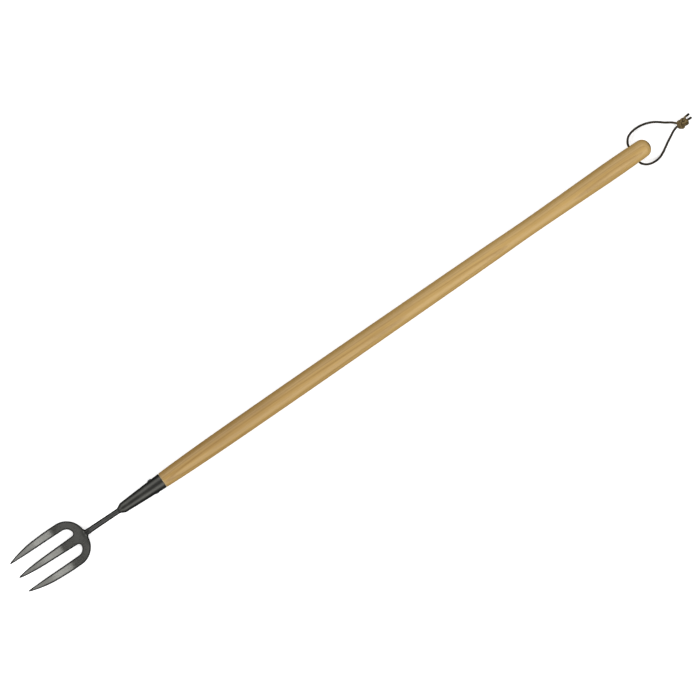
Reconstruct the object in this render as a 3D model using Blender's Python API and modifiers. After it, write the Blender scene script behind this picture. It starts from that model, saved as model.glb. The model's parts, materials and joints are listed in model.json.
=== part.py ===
"""A long-handled hand fork: three flat tines, a forged neck, a riveted socket, an ash handle, a lace.

The fork lies face up on the ground: z = 0 is the ground, the tines point to -X and the handle's
butt to +X. The origin is under the middle of the tool. All sizes are in metres.
"""

import math

import bmesh
import bpy
from mathutils import Matrix, Vector

# Whole tool
OVERALL_LENGTH = 1.250
TIP_X = -OVERALL_LENGTH / 2
BUTT_X = OVERALL_LENGTH / 2
AXIS_Z = 0.016  # height of the handle's axis when the tool lies down
GAP = 0.0003  # clearance kept between neighbouring solids

# Fork head: distances "from the tip" run from the tine tips back to the heel
HEAD_LENGTH = 0.1344
HEEL_X = TIP_X + HEAD_LENGTH  # where the plate's short root meets the neck
FLAT_START = 0.068  # the level stretch that the head lies on, from the tip
FLAT_END = 0.088
TINE_SWEEP_RADIUS = 0.200  # side-view radius of the tines, in front of the level stretch
HEEL_ANGLE = math.radians(12)  # side-view slope of the plate at its heel
HEEL_SWEEP_RADIUS = (HEAD_LENGTH - FLAT_END) / math.sin(HEEL_ANGLE)
PLATE_THICKNESS = 0.003
TIP_THICKNESS = 0.0012
SHOULDER_RADIUS = 0.0343
SHOULDER_START = 0.0959
SHOULDER_CENTRE_WIDTH = 0.0049
ROOT_FILLET_START = 0.0105  # half width of the plate where the fillet to its root starts
ROOT_HALF_WIDTH = 0.0046
SLOT_TOP = Vector((0.1131, 0.0125))  # the end of each slot: from the tip, from the centre line
SLOT_OUTER_START = 0.0999
SLOT_INNER_START = 0.1079
OUTER_TINE_OUTSIDE = (  # (from the tip, from the centre line), smoothed
    (0.0, 0.0270), (0.0007, 0.0280), (0.0055, 0.0298), (0.0185, 0.0334), (0.038, 0.0370),
    (0.058, 0.0386), (0.080, 0.0394), (SHOULDER_START, 0.0392),
)  # fmt: skip
OUTER_TINE_INSIDE = (
    (0.0, 0.0270), (0.0007, 0.0260), (0.006, 0.0256), (0.032, 0.0250), (0.070, 0.0248),
    (SLOT_OUTER_START, 0.0244),
)  # fmt: skip
MIDDLE_TINE_EDGE = (
    (0.0, 0.0), (0.0007, 0.0011), (0.0055, 0.0023), (0.018, 0.0041), (0.038, 0.0058),
    (0.064, 0.0068), (SLOT_INNER_START, 0.0082),
)  # fmt: skip
EDGE_STEPS = 4  # points added between two given ones
ARC_STEPS = 10
HEAD_SLICES = 30

# Neck: a round rod from the socket down to the heel
NECK_RADIUS = 0.0047
NECK_BEND_RADIUS = 0.040
TANG_DEPTH = 0.020  # how far the rod reaches into the socket
BEND_STEPS = 8
HEAD_WELD_HALF_SIZE = (0.0085, 0.0056, 0.0054)  # along the neck, across it, through the plate
HEAD_WELD_FORWARD = 0.0005  # from the heel to the bead's middle, towards the handle
HEAD_WELD_CUT = 0.020  # length of the spaces cut in the bead for the rod and the plate

# Socket
SOCKET_END_X = -0.4274
MOUTH_X = -0.3427
SOCKET_SHOULDER_LENGTH = 0.0062
SOCKET_NOSE_RADIUS = 0.0058
SOCKET_SHOULDER_RADIUS = 0.0090
SOCKET_MOUTH_RADIUS = 0.0131
SOCKET_WALL = 0.0016
SOCKET_WELD_LENGTH = 0.0026
SOCKET_WELD_DIP = 0.45  # how far along its run the fillet is at half its height

# Rivet, across the socket
RIVET_X = MOUTH_X - 0.0176
RIVET_SHANK_RADIUS = 0.0025
RIVET_HEAD_RADIUS = 0.0040
RIVET_HEAD_HEIGHT = 0.0016
RIVET_TAIL_RADIUS = 0.0034
RIVET_TAIL_HEIGHT = 0.0008

# Handle: (distance from the socket's mouth, radius), up to where the domed butt starts
HANDLE_PROFILE = (
    (0.0, 0.0132), (0.043, 0.0145), (0.109, 0.0155), (0.200, 0.0159), (0.305, 0.0160),
    (0.468, 0.01555), (0.632, 0.0149), (0.722, 0.0140), (0.795, 0.0146), (0.861, 0.0155),
    (0.902, 0.0158), (0.943, 0.0153), (0.9535, 0.0150),
)  # fmt: skip
SPIGOT_LENGTH = 0.062
SPIGOT_CHAMFER = 0.002
MOUTH_CHAMFER = 0.0008
DOME_STEPS = 7
ROUND_SIDES = 48
SMALL_ROUND_SIDES = 28

# Lace hole, across the handle near its butt
HOLE_X = BUTT_X - 0.0307
HOLE_RADIUS = 0.0028
HOLE_FLARE = 0.0022  # how far the mouths open out, and how deep the flare goes
HANDLE_RADIUS_AT_HOLE = 0.0154

# Lace: the route of its middle line, from the knot round one leg, through the hole and back
LACE_RADIUS = 0.0019
LACE_ROUTE = (
    (0.6796, 0.0024, 0.0043), (0.6766, 0.0042, 0.0037), (0.6722, 0.0080, 0.0025),
    (0.6664, 0.0135, 0.0021),
    (0.6594, 0.0196, 0.0021), (0.6512, 0.0252, 0.0021), (0.6418, 0.0296, 0.0021),
    (0.6325, 0.0322, 0.0021), (0.6243, 0.0332, 0.0025), (0.6161, 0.0330, 0.0042),
    (0.6080, 0.0313, 0.0072), (0.6021, 0.0284, 0.0112), (0.5977, 0.0237, 0.0145),
    (0.5951, 0.0190, 0.0158), (HOLE_X, 0.0145, AXIS_Z), (HOLE_X, 0.0075, AXIS_Z),
    (HOLE_X, 0.0, AXIS_Z), (HOLE_X, -0.0075, AXIS_Z), (HOLE_X, -0.0145, AXIS_Z),
    (0.5955, -0.0184, 0.0157), (0.5984, -0.0222, 0.0142), (0.6026, -0.0255, 0.0110),
    (0.6080, -0.0278, 0.0070), (0.6138, -0.0289, 0.0042), (0.6208, -0.0290, 0.0025),
    (0.6278, -0.0278, 0.0021), (0.6360, -0.0242, 0.0021), (0.6442, -0.0194, 0.0021),
    (0.6524, -0.0144, 0.0021), (0.6594, -0.0108, 0.0021), (0.6664, -0.0078, 0.0022),
    (0.6728, -0.0062, 0.0027), (0.6768, -0.0057, 0.0037), (0.6799, -0.0056, 0.0043),
)  # fmt: skip
LACE_POINTS = 76
KNOT_CENTRE = Vector((0.6896, -0.0030, 0.0051))
KNOT_SIZE = Vector((0.0180, 0.0154, 0.0100))
KNOT_ROUNDING = 0.0030
TAIL_START_X = KNOT_CENTRE.x + KNOT_SIZE.x / 2 + GAP
TAIL_LEFT = (
    (TAIL_START_X, 0.0014, 0.0044), (0.6998, 0.0015, 0.0043), (0.7026, 0.0023, 0.0032),
    (0.7057, 0.0030, 0.0021),
)  # fmt: skip
TAIL_RIGHT = (
    (TAIL_START_X, -0.0026, 0.0044), (0.6998, -0.0027, 0.0043), (0.7028, -0.0034, 0.0032),
    (0.7060, -0.0040, 0.0021),
)  # fmt: skip


def clear_scene():
    for obj in list(bpy.data.objects):
        bpy.data.objects.remove(obj, do_unlink=True)


def new_collection(name):
    collection = bpy.data.collections.new(name)
    bpy.context.scene.collection.children.link(collection)
    return collection


def material(name, colour, roughness, metallic):
    made = bpy.data.materials.new(name)
    made.use_nodes = True
    shader = made.node_tree.nodes["Principled BSDF"]
    shader.inputs["Base Color"].default_value = (*colour, 1.0)
    shader.inputs["Roughness"].default_value = roughness
    shader.inputs["Metallic"].default_value = metallic
    return made


def link_mesh(name, mesh, collection, finish=None):
    obj = bpy.data.objects.new(name, mesh)
    collection.objects.link(obj)
    if finish:
        mesh.materials.append(finish)
    return obj


def make_cutter(obj):
    obj.hide_render = True
    obj.display_type = "WIRE"


def cut(obj, cutter):
    modifier = obj.modifiers.new(cutter.name, "BOOLEAN")
    modifier.operation = "DIFFERENCE"
    modifier.solver = "EXACT"
    modifier.object = cutter


def smooth_shading(obj, sharp_angle=35.0):
    obj.data.shade_smooth()
    obj.data.set_sharp_from_angle(angle=math.radians(sharp_angle))


def smooth_line(points, steps):
    """Points on a smooth curve through the given ones, steps - 1 new ones in each interval."""
    known = [Vector(point) for point in points]
    known = [2 * known[0] - known[1], *known, 2 * known[-1] - known[-2]]
    line = []
    for i in range(1, len(known) - 2):
        before, start, end, after = known[i - 1 : i + 3]
        for step in range(steps):
            t = step / steps
            line.append(
                0.5
                * (
                    2 * start
                    + (end - before) * t
                    + (2 * before - 5 * start + 4 * end - after) * t**2
                    + (3 * start - before - 3 * end + after) * t**3
                )
            )
    return [*line, known[-2]]


def evenly(points, count):
    """count points, evenly spaced along the line through the given ones."""
    lengths = [0.0]
    for start, end in zip(points, points[1:]):
        lengths.append(lengths[-1] + (end - start).length)
    line = []
    i = 0
    for step in range(count):
        wanted = lengths[-1] * step / (count - 1)
        while i < len(points) - 2 and lengths[i + 1] < wanted:
            i += 1
        share = (wanted - lengths[i]) / (lengths[i + 1] - lengths[i])
        line.append(points[i].lerp(points[i + 1], share))
    return line


def turned(name, profile, collection, finish=None, closed=False, sides=ROUND_SIDES):
    """A solid turned about its own Z axis, from (radius, height) points that run down its outside."""
    mesh = bpy.data.meshes.new(name)
    edges = [(i, i + 1) for i in range(len(profile) - 1)]
    if closed:
        edges.append((len(profile) - 1, 0))
    mesh.from_pydata([(radius, 0.0, height) for radius, height in profile], edges, [])
    obj = link_mesh(name, mesh, collection, finish)
    screw = obj.modifiers.new("turn", "SCREW")
    screw.steps = sides
    screw.render_steps = sides
    screw.use_merge_vertices = True
    screw.merge_threshold = 0.00002
    screw.use_smooth_shade = True
    return obj


def along_x(obj, x):
    """Lays a turned solid on the handle's axis, its own +Z towards the butt and its zero at x."""
    obj.rotation_euler = (0.0, math.pi / 2, 0.0)
    obj.location = (x, 0.0, AXIS_Z)


def across(obj, x):
    """Lays a turned solid across the handle, its own +Z towards +Y."""
    obj.rotation_euler = (-math.pi / 2, 0.0, 0.0)
    obj.location = (x, 0.0, AXIS_Z)


def tube(name, points, radius, collection, finish, bevel_resolution):
    curve = bpy.data.curves.new(name, "CURVE")
    curve.dimensions = "3D"
    curve.bevel_depth = radius
    curve.bevel_resolution = bevel_resolution
    curve.use_fill_caps = True
    spline = curve.splines.new("POLY")
    spline.points.add(len(points) - 1)
    for point, place in zip(spline.points, points):
        point.co = (*place, 1.0)
    curve.materials.append(finish)
    obj = bpy.data.objects.new(name, curve)
    collection.objects.link(obj)
    return obj


# Fork head


def plate_half_thickness(from_tip):
    share = min(from_tip / FLAT_START, 1.0)
    return (TIP_THICKNESS + (PLATE_THICKNESS - TIP_THICKNESS) * share) / 2


def plate_height(from_tip):
    """Height of the plate's middle surface: level where it rests, swept up towards both ends."""
    rest = PLATE_THICKNESS / 2
    if from_tip < FLAT_START:
        run = FLAT_START - from_tip
        return rest + TINE_SWEEP_RADIUS - math.sqrt(TINE_SWEEP_RADIUS**2 - run**2)
    if from_tip > FLAT_END:
        run = from_tip - FLAT_END
        return rest + HEEL_SWEEP_RADIUS - math.sqrt(HEEL_SWEEP_RADIUS**2 - run**2)
    return rest


def quarter(centre, along, across_line, steps):
    """Points of a quarter ellipse, from its end across the centre line to its end along it."""
    points = []
    for step in range(steps + 1):
        angle = math.pi / 2 * step / steps
        points.append(centre + Vector((along * math.sin(angle), across_line * math.cos(angle))))
    return points


def head_outline():
    """Half the plate's outline, from the middle tine's tip to the heel, as (from tip, from centre)."""
    inner_corner = quarter(
        Vector((SLOT_INNER_START, SLOT_TOP.y)),
        SLOT_TOP.x - SLOT_INNER_START,
        MIDDLE_TINE_EDGE[-1][1] - SLOT_TOP.y,
        ARC_STEPS // 2,
    )
    outer_corner = quarter(
        Vector((SLOT_OUTER_START, SLOT_TOP.y)),
        SLOT_TOP.x - SLOT_OUTER_START,
        OUTER_TINE_INSIDE[-1][1] - SLOT_TOP.y,
        ARC_STEPS,
    )
    shoulder = quarter(
        Vector((SHOULDER_START, SHOULDER_CENTRE_WIDTH)),
        SHOULDER_RADIUS,
        SHOULDER_RADIUS,
        ARC_STEPS + 4,
    )
    shoulder = [point for point in shoulder if point.y > ROOT_FILLET_START]
    rise = ROOT_FILLET_START - SHOULDER_CENTRE_WIDTH
    fillet_start = SHOULDER_START + math.sqrt(SHOULDER_RADIUS**2 - rise**2)
    root_fillet = quarter(
        Vector((HEAD_LENGTH, ROOT_FILLET_START)),
        fillet_start - HEAD_LENGTH,
        ROOT_HALF_WIDTH - ROOT_FILLET_START,
        ARC_STEPS // 2,
    )
    return [
        *smooth_line(MIDDLE_TINE_EDGE, EDGE_STEPS),
        *inner_corner[1:],
        *outer_corner[-2::-1],
        *smooth_line(OUTER_TINE_INSIDE, EDGE_STEPS)[-2::-1],
        *smooth_line(OUTER_TINE_OUTSIDE, EDGE_STEPS)[1:],
        *shoulder[1:],
        *reversed(root_fillet),
    ]


def flat_plate(outline):
    """The outline's filled plate as a welded mesh, one unit thick each way about z = 0."""
    curve = bpy.data.curves.new("fork_head_outline", "CURVE")
    curve.dimensions = "2D"
    curve.fill_mode = "BOTH"
    curve.extrude = 1.0
    spline = curve.splines.new("POLY")
    spline.use_cyclic_u = True
    spline.points.add(len(outline) - 1)
    for point, place in zip(spline.points, outline):
        point.co = (place.x, place.y, 0.0, 1.0)
    source = bpy.data.objects.new("fork_head_outline", curve)
    bpy.context.scene.collection.objects.link(source)
    bpy.context.view_layer.update()
    mesh = bpy.data.meshes.new_from_object(
        source.evaluated_get(bpy.context.evaluated_depsgraph_get())
    )
    bpy.data.objects.remove(source, do_unlink=True)
    return mesh


def fork_head(collection, finish):
    half = head_outline()
    other_half = [Vector((point.x, -point.y)) for point in reversed(half[1:])]
    mesh = flat_plate([*half, *other_half])
    mesh.name = "fork_head"
    body = bmesh.new()
    body.from_mesh(mesh)
    bmesh.ops.remove_doubles(body, verts=body.verts, dist=0.00001)
    bmesh.ops.dissolve_limit(
        body, angle_limit=math.radians(0.1), verts=body.verts, edges=body.edges
    )
    stations = [HEAD_LENGTH * i / HEAD_SLICES for i in range(1, HEAD_SLICES)]
    for station in [*stations, FLAT_START, FLAT_END]:
        bmesh.ops.bisect_plane(
            body,
            geom=[*body.verts, *body.edges, *body.faces],
            dist=0.00002,
            plane_co=(station, 0.0, 0.0),
            plane_no=(1.0, 0.0, 0.0),
        )
    for vert in body.verts:
        from_tip = vert.co.x
        side = math.copysign(1.0, vert.co.z)
        vert.co.z = plate_height(from_tip) + side * plate_half_thickness(from_tip)
        vert.co.x = TIP_X + from_tip
    bmesh.ops.triangulate(body, faces=[face for face in body.faces if len(face.verts) > 4])
    bmesh.ops.recalc_face_normals(body, faces=body.faces)
    body.to_mesh(mesh)
    body.free()
    obj = link_mesh("fork_head", mesh, collection, finish)
    smooth_shading(obj)
    return obj


# Neck and its welds


def neck_line():
    """The rod's middle line, from inside the socket down to the heel."""
    heel_height = plate_height(HEAD_LENGTH)
    bend_drop = NECK_BEND_RADIUS * (1 - math.cos(HEEL_ANGLE))
    bend_run = NECK_BEND_RADIUS * math.sin(HEEL_ANGLE)
    slope_run = (AXIS_Z - heel_height - bend_drop) / math.tan(HEEL_ANGLE)
    bend_x = HEEL_X + slope_run + bend_run
    points = [Vector((SOCKET_END_X + TANG_DEPTH, 0.0, AXIS_Z))]
    for step in range(BEND_STEPS + 1):
        angle = HEEL_ANGLE * step / BEND_STEPS
        points.append(
            Vector(
                (
                    bend_x - NECK_BEND_RADIUS * math.sin(angle),
                    0.0,
                    AXIS_Z - NECK_BEND_RADIUS * (1 - math.cos(angle)),
                )
            )
        )
    clear = GAP + NECK_RADIUS * math.sin(HEEL_ANGLE)
    points.append(Vector((HEEL_X + clear, 0.0, heel_height + clear * math.tan(HEEL_ANGLE))))
    return points


def neck_rod(collection, finish):
    return tube("neck_rod", neck_line(), NECK_RADIUS, collection, finish, 6)


def heel_placement():
    """The heel's own frame: its middle, and its X along the sloping neck."""
    place = Matrix.Translation((HEEL_X, 0.0, plate_height(HEAD_LENGTH)))
    return place @ Matrix.Rotation(-HEEL_ANGLE, 4, "Y")


def primitive(name, collection, build, **sizes):
    mesh = bpy.data.meshes.new(name)
    body = bmesh.new()
    build(body, **sizes)
    body.to_mesh(mesh)
    body.free()
    return link_mesh(name, mesh, collection)


def head_weld(collection, cutters, finish):
    """The weld that runs round the rod's end and over both faces of the plate's root."""
    bead = primitive(
        "head_weld",
        collection,
        bmesh.ops.create_uvsphere,
        u_segments=28,
        v_segments=14,
        radius=1.0,
    )
    bead.data.transform(Matrix.Diagonal((*HEAD_WELD_HALF_SIZE, 1.0)))
    bead.matrix_world = heel_placement() @ Matrix.Translation((HEAD_WELD_FORWARD, 0.0, 0.0))
    bead.data.materials.append(finish)
    rod_space = primitive(
        "rod_space",
        cutters,
        bmesh.ops.create_cone,
        cap_ends=True,
        segments=32,
        radius1=NECK_RADIUS + GAP,
        radius2=NECK_RADIUS + GAP,
        depth=HEAD_WELD_CUT,
    )
    rod_space.matrix_world = (
        heel_placement()
        @ Matrix.Translation((HEAD_WELD_CUT / 2 + GAP / 2, 0.0, 0.0))
        @ Matrix.Rotation(math.pi / 2, 4, "Y")
    )
    plate_space = primitive("plate_space", cutters, bmesh.ops.create_cube, size=1.0)
    plate_space.data.transform(
        Matrix.Diagonal((HEAD_WELD_CUT, 2 * HEAD_WELD_CUT, PLATE_THICKNESS + 3 * GAP, 1.0))
    )
    plate_space.matrix_world = heel_placement() @ Matrix.Translation(
        (GAP - HEAD_WELD_CUT / 2, 0.0, GAP / 3)
    )
    for cutter in (rod_space, plate_space):
        make_cutter(cutter)
        cut(bead, cutter)
    smooth_shading(bead)
    return bead


def socket_weld(collection, finish):
    """A fillet of weld in the corner between the rod and the socket's nose."""
    inside = NECK_RADIUS + GAP
    middle = (inside + SOCKET_NOSE_RADIUS) / 2
    profile = [
        (SOCKET_NOSE_RADIUS, SOCKET_WELD_LENGTH),
        (middle - GAP / 2, SOCKET_WELD_LENGTH * SOCKET_WELD_DIP),
        (inside + GAP / 2, 0.0),
        (inside, 0.0),
        (inside, SOCKET_WELD_LENGTH),
    ]
    ring = turned("socket_weld", profile, collection, finish, closed=True, sides=SMALL_ROUND_SIDES)
    along_x(ring, SOCKET_END_X - GAP - SOCKET_WELD_LENGTH)
    return ring


# Socket and rivet


def socket_radius(from_nose):
    """Outside radius of the socket: a short cone at its nose, then a long slight taper."""
    if from_nose < SOCKET_SHOULDER_LENGTH:
        share = from_nose / SOCKET_SHOULDER_LENGTH
        return SOCKET_NOSE_RADIUS + (SOCKET_SHOULDER_RADIUS - SOCKET_NOSE_RADIUS) * share
    length = MOUTH_X - SOCKET_END_X - SOCKET_SHOULDER_LENGTH
    share = (from_nose - SOCKET_SHOULDER_LENGTH) / length
    return SOCKET_SHOULDER_RADIUS + (SOCKET_MOUTH_RADIUS - SOCKET_SHOULDER_RADIUS) * share


def socket(collection, cutters, finish):
    length = MOUTH_X - SOCKET_END_X
    cavity_start = length - SPIGOT_LENGTH - 4 * GAP
    outside = [(socket_radius(at), at) for at in (0.0, SOCKET_SHOULDER_LENGTH, length)]
    inside = [
        (NECK_RADIUS + GAP, 0.0),
        (NECK_RADIUS + GAP, cavity_start),
        (socket_radius(cavity_start) - SOCKET_WALL, cavity_start),
        (SOCKET_MOUTH_RADIUS - SOCKET_WALL, length),
    ]
    profile = [*reversed(outside), *inside]
    obj = turned("socket", profile, collection, finish, closed=True)
    along_x(obj, SOCKET_END_X)
    cut(obj, rivet_space(cutters))
    return obj


def rivet_space(cutters):
    if "rivet_space" in bpy.data.objects:
        return bpy.data.objects["rivet_space"]
    space = primitive(
        "rivet_space",
        cutters,
        bmesh.ops.create_cone,
        cap_ends=True,
        segments=32,
        radius1=RIVET_SHANK_RADIUS + GAP,
        radius2=RIVET_SHANK_RADIUS + GAP,
        depth=0.040,
    )
    across(space, RIVET_X)
    make_cutter(space)
    return space


def socket_rivet(collection, finish):
    seat = socket_radius(RIVET_X - SOCKET_END_X) + GAP
    profile = [(0.0, seat + RIVET_HEAD_HEIGHT)]
    for step in range(1, 7):
        angle = math.pi / 2 * step / 6
        profile.append(
            (RIVET_HEAD_RADIUS * math.sin(angle), seat + RIVET_HEAD_HEIGHT * math.cos(angle))
        )
    profile += [(RIVET_SHANK_RADIUS, seat), (RIVET_SHANK_RADIUS, -seat)]
    profile += [(RIVET_TAIL_RADIUS, -seat)]
    for step in range(1, 5):
        angle = math.pi / 2 * step / 4
        profile.append(
            (RIVET_TAIL_RADIUS * math.cos(angle), -seat - RIVET_TAIL_HEIGHT * math.sin(angle))
        )
    rivet = turned("socket_rivet", profile, collection, finish, sides=SMALL_ROUND_SIDES)
    across(rivet, RIVET_X)
    return rivet


# Handle


def handle(collection, cutters, finish):
    length = BUTT_X - MOUTH_X
    dome_start, dome_radius = HANDLE_PROFILE[-1]
    profile = []
    for step in range(DOME_STEPS):
        angle = math.pi / 2 * step / DOME_STEPS
        height = dome_start + (length - dome_start) * math.cos(angle)
        profile.append((dome_radius * math.sin(angle), height))
    profile[0] = (0.0, length)
    profile += [(radius, height) for height, radius in reversed(HANDLE_PROFILE[1:])]
    spigot_root = SOCKET_MOUTH_RADIUS - SOCKET_WALL - GAP
    nose_from_socket_end = MOUTH_X - SPIGOT_LENGTH - SOCKET_END_X
    spigot_nose = socket_radius(nose_from_socket_end) - SOCKET_WALL - GAP
    profile += [
        (HANDLE_PROFILE[0][1], MOUTH_CHAMFER + GAP),
        (HANDLE_PROFILE[0][1] - MOUTH_CHAMFER, GAP),
        (spigot_root, GAP),
        (spigot_nose, -SPIGOT_LENGTH + SPIGOT_CHAMFER),
        (spigot_nose - SPIGOT_CHAMFER, -SPIGOT_LENGTH),
        (0.0, -SPIGOT_LENGTH),
    ]
    obj = turned("handle", profile, collection, finish)
    along_x(obj, MOUTH_X)
    cut(obj, rivet_space(cutters))
    cut(obj, lace_space(cutters))
    return obj


def lace_space(cutters):
    """The lace hole, with both mouths flared open."""
    flare_start = HANDLE_RADIUS_AT_HOLE - HOLE_FLARE
    flare = []
    for step in range(7):
        angle = math.pi / 2 * step / 6
        flare.append(
            (
                HOLE_RADIUS + HOLE_FLARE * (1 - math.cos(angle)),
                flare_start + HOLE_FLARE * math.sin(angle),
            )
        )
    wide = flare[-1][0]
    beyond = HANDLE_RADIUS_AT_HOLE + 0.003
    profile = [(0.0, beyond), (wide, beyond), *reversed(flare)]
    profile += [(radius, -height) for radius, height in flare]
    profile += [(wide, -beyond), (0.0, -beyond)]
    space = turned("lace_space", profile, cutters)
    across(space, HOLE_X)
    make_cutter(space)
    return space


# Lace


def lace(collection, finish, cord_pivot):
    route = evenly(smooth_line(LACE_ROUTE, 6), LACE_POINTS)
    pieces = [tube("lace_loop", route, LACE_RADIUS, collection, finish, 2)]
    pieces.append(tube("lace_tail_left", TAIL_LEFT, LACE_RADIUS, collection, finish, 2))
    pieces.append(tube("lace_tail_right", TAIL_RIGHT, LACE_RADIUS, collection, finish, 2))
    knot = primitive("lace_knot", collection, bmesh.ops.create_cube, size=1.0)
    knot.data.transform(Matrix.Translation(KNOT_CENTRE) @ Matrix.Diagonal((*KNOT_SIZE, 1.0)))
    knot.data.materials.append(finish)
    rounding = knot.modifiers.new("rounding", "BEVEL")
    rounding.width = KNOT_ROUNDING
    rounding.segments = 4
    smooth_shading(knot, 60.0)
    pieces.append(knot)
    for piece in pieces:
        piece.data.transform(Matrix.Translation(-cord_pivot.location))
        piece.parent = cord_pivot
    return pieces


def main():
    clear_scene()
    tool = new_collection("long_handled_fork")
    cutters = new_collection("cutters")
    cutters.hide_render = True

    head_steel = material("head_steel", (0.13, 0.13, 0.125), 0.38, 0.9)
    rod_steel = material("rod_steel", (0.12, 0.12, 0.118), 0.42, 0.9)
    weld_steel = material("weld_steel", (0.10, 0.10, 0.10), 0.5, 0.9)
    socket_steel = material("socket_steel", (0.11, 0.11, 0.108), 0.4, 0.9)
    rivet_steel = material("rivet_steel", (0.16, 0.16, 0.155), 0.35, 0.9)
    ash = material("ash", (0.62, 0.40, 0.19), 0.45, 0.0)
    leather = material("leather", (0.09, 0.055, 0.03), 0.6, 0.0)

    fork_head(tool, head_steel)
    neck_rod(tool, rod_steel)
    head_weld(tool, cutters, weld_steel)
    socket_weld(tool, weld_steel)
    socket(tool, cutters, socket_steel)
    socket_rivet(tool, rivet_steel)
    handle(tool, cutters, ash)

    lace_pivot = bpy.data.objects.new("lace_pivot", None)
    lace_pivot.location = (HOLE_X, 0.0, AXIS_Z)
    tool.objects.link(lace_pivot)
    lace(tool, leather, lace_pivot)


main()
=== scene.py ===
"""Looks of the long-handled hand fork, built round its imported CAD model.

Every plain CAD solid is replaced by a finer piece in the same place: a forged three-tine head,
its round neck and two welds, a riveted socket, a turned ash handle, and a leather lace that
is tied in an overhand knot. All sizes are in metres, in the CAD model's own frame.
"""

import json
import math

import bmesh
import bpy
import numpy as np
from mathutils import Matrix, Vector
from mathutils.geometry import delaunay_2d_cdt


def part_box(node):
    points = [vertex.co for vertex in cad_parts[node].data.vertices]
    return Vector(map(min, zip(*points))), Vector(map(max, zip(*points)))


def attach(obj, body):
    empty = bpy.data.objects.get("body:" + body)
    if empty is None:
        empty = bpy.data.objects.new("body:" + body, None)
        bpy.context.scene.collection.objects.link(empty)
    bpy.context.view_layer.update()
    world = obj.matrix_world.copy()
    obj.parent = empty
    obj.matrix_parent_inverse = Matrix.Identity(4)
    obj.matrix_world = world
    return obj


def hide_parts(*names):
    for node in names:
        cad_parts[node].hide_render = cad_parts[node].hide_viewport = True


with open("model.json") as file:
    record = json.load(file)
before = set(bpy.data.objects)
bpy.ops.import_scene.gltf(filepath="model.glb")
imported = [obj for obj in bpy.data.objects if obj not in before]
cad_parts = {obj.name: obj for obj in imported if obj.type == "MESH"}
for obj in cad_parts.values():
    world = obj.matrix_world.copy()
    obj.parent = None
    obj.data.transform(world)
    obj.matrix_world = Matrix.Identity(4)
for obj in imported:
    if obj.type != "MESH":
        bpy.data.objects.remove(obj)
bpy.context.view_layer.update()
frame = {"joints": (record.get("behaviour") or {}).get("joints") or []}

# Places, read from the frame
HOLE_X, _, AXIS_Z = frame["joints"][0]["pos_m"]
TIP_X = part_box("fork_head")[0].x
HEEL_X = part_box("fork_head")[1].x
SOCKET_END_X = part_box("socket")[0].x
MOUTH_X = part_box("socket")[1].x
BUTT_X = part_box("handle")[1].x
TOOL = "tool"
LACE = "lace"

# Fork head: distances "from the tip" run from the tine tips back to the heel
HEAD_LENGTH = HEEL_X - TIP_X
PLATE_THICKNESS = 0.003
TIP_THICKNESS = 0.0012
TAPER_END = 0.068
EDGE_ROUNDING = 0.0009
EDGE_SHARE = 0.35  # how much of the plate's thickness is left as its flat edge
LEVEL_POINT = 0.080  # where the plate lies level on the ground
HEAD_SLOPE = (  # (from the tip, side-view slope in degrees)
    (0.0, 18.2), (0.068, 1.5), (LEVEL_POINT, 0.0), (0.088, -5.2), (0.123, -5.2),
    (HEAD_LENGTH, -10.5),
)  # fmt: skip
SHOULDER_RADIUS = 0.0343
SHOULDER_START = 0.0959
SHOULDER_CENTRE_WIDTH = 0.0049
ROOT_FILLET_START = 0.0105
ROOT_HALF_WIDTH = 0.0046
SLOT_TOP = Vector((0.1131, 0.0125))
SLOT_OUTER_START = 0.0999
SLOT_INNER_START = 0.1079
OUTER_TINE_OUTSIDE = (
    (0.0, 0.0270), (0.0007, 0.0280), (0.0055, 0.0298), (0.0185, 0.0334), (0.038, 0.0370),
    (0.058, 0.0386), (0.080, 0.0394), (SHOULDER_START, 0.0392),
)  # fmt: skip
OUTER_TINE_INSIDE = (
    (0.0, 0.0270), (0.0007, 0.0260), (0.006, 0.0256), (0.032, 0.0250), (0.070, 0.0248),
    (SLOT_OUTER_START, 0.0244),
)  # fmt: skip
MIDDLE_TINE_EDGE = (
    (0.0, 0.0), (0.0007, 0.0011), (0.0055, 0.0023), (0.018, 0.0041), (0.038, 0.0058),
    (0.064, 0.0068), (SLOT_INNER_START, 0.0082),
)  # fmt: skip
OUTLINE_STEP = 0.0008
CURVE_STEPS = 12  # points on each stretch of a smooth curve
INNER_GRID = 0.0016
EDGE_RINGS = (0.00008, 0.0002, 0.0004, 0.00065, 0.0009, 0.0013, 0.0018, 0.0023, 0.0029)
HUMP_START = 0.121  # where the plate begins to swell into the round neck
HUMP_SPREAD = 1.0  # how much wider the swelling is where it starts
HUMP_SOFTNESS = 0.0004  # how softly the swelling runs out into the plate
PAINTED_SHADE_ATTRIBUTE = "edge_scale"  # the mesh attribute that says how much painted shade darkens each point
# the dark colour of the painted shade on the plate's edges, heel and tips and on the rod's flanks
PAINTED_SHADE_COLOUR = (0.010, 0.010, 0.009)
EDGE_SHADE_WIDTH = (0.0014, 0.0029)  # painted shade along the edges: wholly dark up to here from an edge, and not at all from here
TIP_SHADE_SHARE = 0.7  # how wide that painted edge shade is at the tips, as a share of its width elsewhere
TIP_SHADE_RUN = (0.004, 0.040)  # distances from the tips between which it widens
HEEL_SHADE_START = 0.1275  # from here towards the heel, painted shade darkens the middle of the plate as well
HEEL_SHADE_END = HEAD_LENGTH - 0.003
HEEL_SHADE_HALF_WIDTH = (0.012, 0.006)  # not dark at all from here out, and wholly from here in
DARK_TIP_SHADE = (0.010, 0.002)  # distances from the tips between which painted shade turns them dark
FACE_SHADE_STRENGTH = 0.8  # how dark the painted shade makes the heel and the tips, beside an edge
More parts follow.
